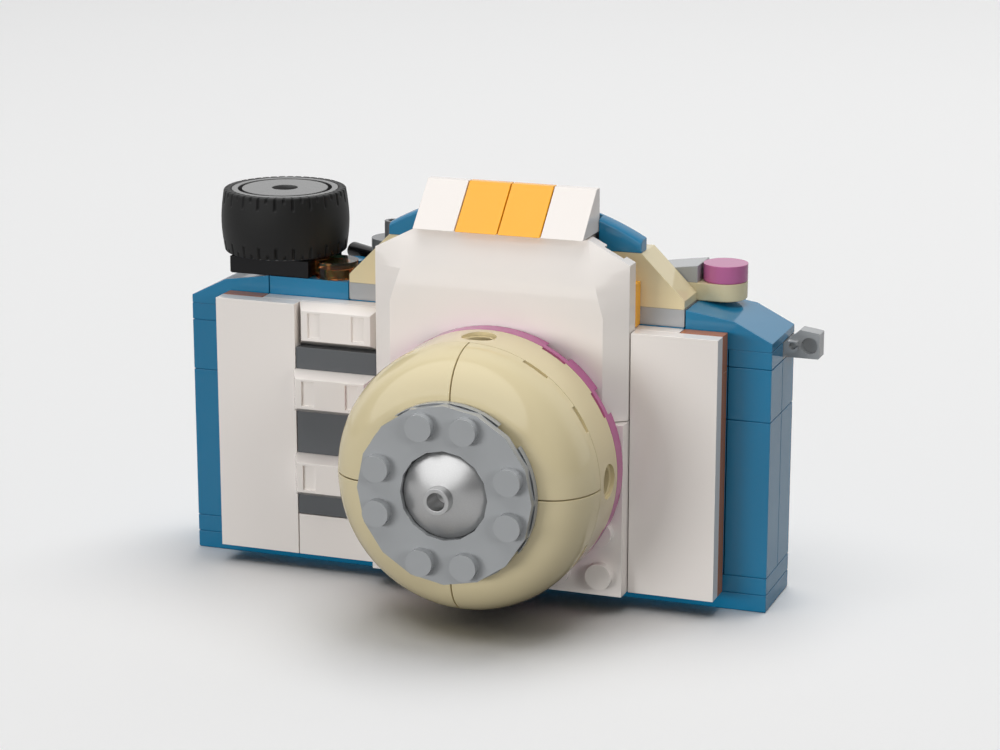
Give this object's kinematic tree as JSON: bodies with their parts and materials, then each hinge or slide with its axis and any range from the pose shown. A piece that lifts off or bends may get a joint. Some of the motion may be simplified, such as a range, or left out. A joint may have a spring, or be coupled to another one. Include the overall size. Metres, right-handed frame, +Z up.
{
  "type": "toy camera",
  "caption": "Brick-built toy camera with a domed lens barrel, bevelled grille, flash, turning tyre dial and swinging rewind lever.",
  "frame": {"origin": "centre of the base plate's underside, at the mouth of its middle tube", "axes": "+Z up, -Y out of the lens, +X to the right seen from the front"},
  "size_m": [0.118, 0.0597, 0.0751],
  "materials": {
    "blue_plastic": "glossy moulded",
    "white_plastic": "glossy moulded",
    "tan_plastic": "glossy moulded",
    "grey_plastic": "glossy moulded",
    "dark_grey_plastic": "glossy moulded",
    "pink_plastic": "glossy moulded",
    "amber_plastic": "glossy moulded",
    "copper_brown_plastic": "glossy moulded",
    "black_plastic": "glossy moulded",
    "silver_plastic": "satin silver, moulded",
    "clear_amber": "clear tinted plastic",
    "tyre_rubber": "soft matt rubber"
  },
  "bodies": {
    "camera": {"base_plate": "blue_plastic", "sill_left": "blue_plastic", "sill_right": "blue_plastic", "corner_brick_fl": "blue_plastic", "corner_brick_fr": "blue_plastic", "wall_brick_rl": "blue_plastic", "wall_brick_rr": "blue_plastic", "wall_brick_rm": "blue_plastic", "core_brick": "blue_plastic", "upper_corner_l": "blue_plastic", "upper_corner_r": "blue_plastic", "upper_core": "blue_plastic", "upper_rear_l": "blue_plastic", "upper_rear_r": "blue_plastic", "plate_row_l": "blue_plastic", "plate_row_r": "blue_plastic", "plate_row_corner": "blue_plastic", "end_slope_l": "blue_plastic", "end_slope_r": "blue_plastic", "top_block": "blue_plastic", "deck_lower": "blue_plastic", "deck_upper": "grey_plastic", "spacer_copper": "copper_brown_plastic", "shutter_wedge": "grey_plastic", "spacer_white_l": "white_plastic", "spacer_white_m": "white_plastic", "spacer_white_r": "white_plastic", "spacer_orange": "amber_plastic", "panel_l": "white_plastic", "panel_r": "white_plastic", "grille_tile": "white_plastic", "grille_plate": "dark_grey_plastic", "grille_bar_top": "white_plastic", "grille_bar_mid": "white_plastic", "grille_bar_low": "white_plastic", "backing_plate": "white_plastic", "lens_plate": "white_plastic", "hood": "white_plastic", "lens_flange": "pink_plastic", "lens_ring": "tan_plastic", "lens_domes": "tan_plastic", "lens_core": "dark_grey_plastic", "lens_stud_ring": "grey_plastic", "lens_cap": "silver_plastic", "prism_slope_l": "tan_plastic", "prism_slope_r": "tan_plastic", "prism_brick": "tan_plastic", "arch": "blue_plastic", "flash_carrier": "grey_plastic", "flash_white": "white_plastic", "flash_amber": "amber_plastic", "dial_plate": "black_plastic", "amber_tile": "clear_amber", "shutter_plate": "tan_plastic", "shutter_tile": "pink_plastic", "strap_lug": "grey_plastic"},
    "dial": {"dial_wheel": "dark_grey_plastic", "dial_tyre": "tyre_rubber"},
    "lever": {"lever_base": "black_plastic", "lever_tile": "dark_grey_plastic"}
  },
  "joints": [
    {"name": "dial_turn", "type": "hinge", "parent": "camera", "child": "dial", "pos_m": [-0.04, 0, 0.0576], "axis": [0, 0, 1], "continuous": true},
    {"name": "lever_swing", "type": "hinge", "parent": "camera", "child": "lever", "pos_m": [-0.02, 0.004, 0.0544], "axis": [0, 0, 1], "range_deg": [-86, 0]}
  ]
}
